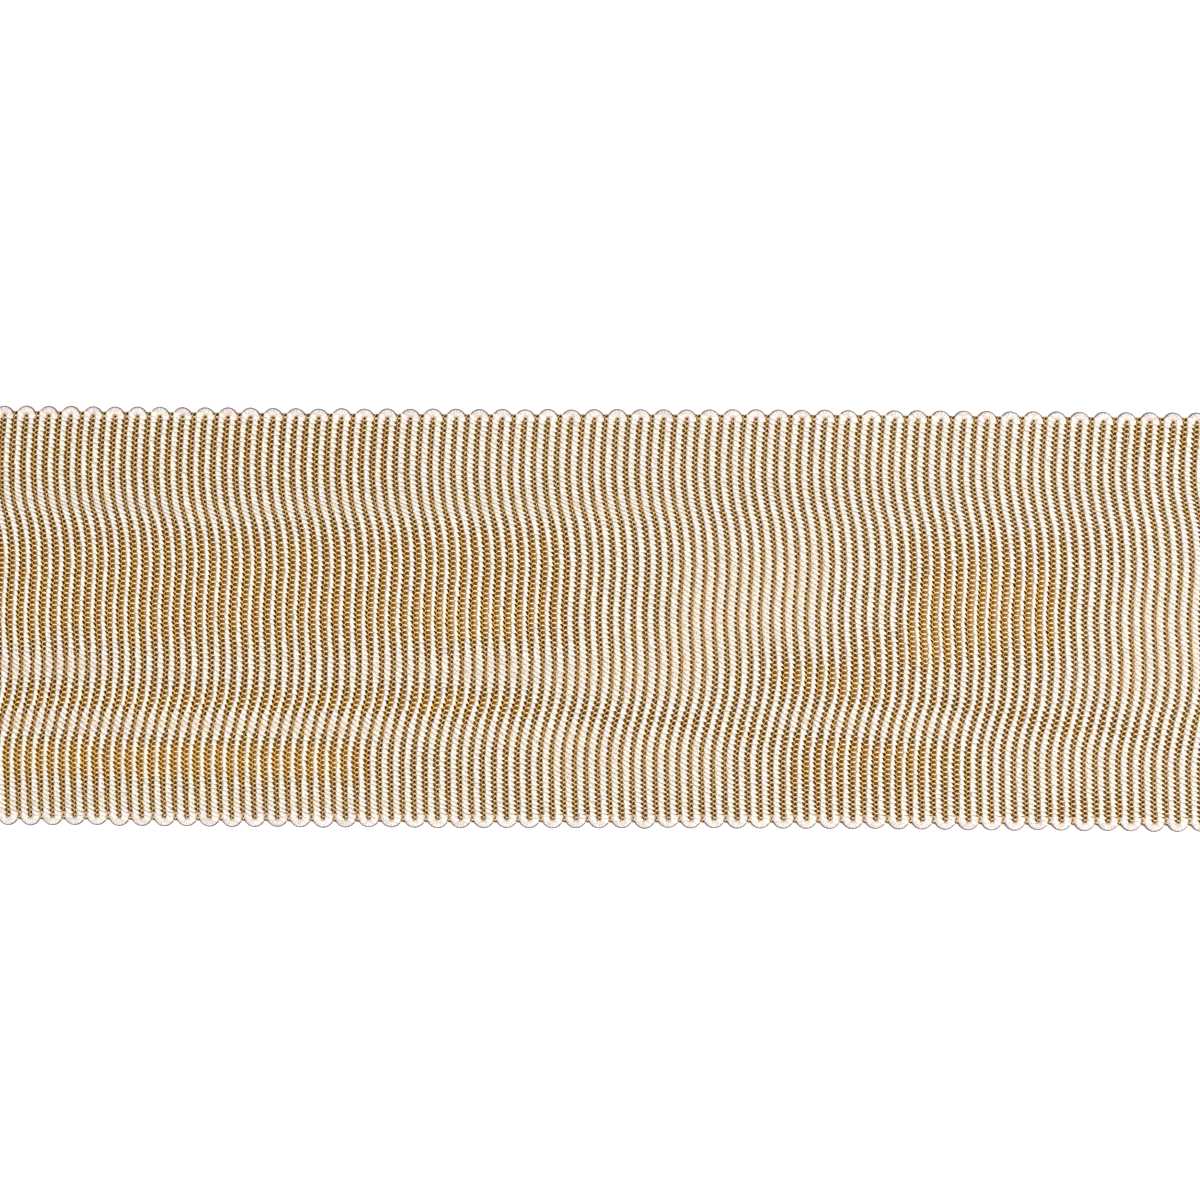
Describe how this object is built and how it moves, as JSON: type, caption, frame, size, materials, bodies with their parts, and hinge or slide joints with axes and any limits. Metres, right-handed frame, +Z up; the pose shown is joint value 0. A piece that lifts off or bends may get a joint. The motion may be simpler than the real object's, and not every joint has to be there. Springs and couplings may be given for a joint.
{
  "type": "ribbed tape trim",
  "caption": "Cut length of flat ribbed tape trim in cream and gold, its thick rib yarn turning back in small round loops along both long edges.",
  "frame": {"origin": "middle of the bounding box at its lowest face, which lies on the surface", "axes": "+X along the tape, +Y across it, +Z up from the surface, out of the tape's face"},
  "size_m": [0.1624, 0.0502, 0.002],
  "materials": {
    "ribbed_weave": "cream and gold warp yarns over thick weft, soft sheen on the cream ribs, matt dark furrows"
  },
  "bodies": {
    "root": {"tape": "ribbed_weave"}
  },
  "joints": []
}
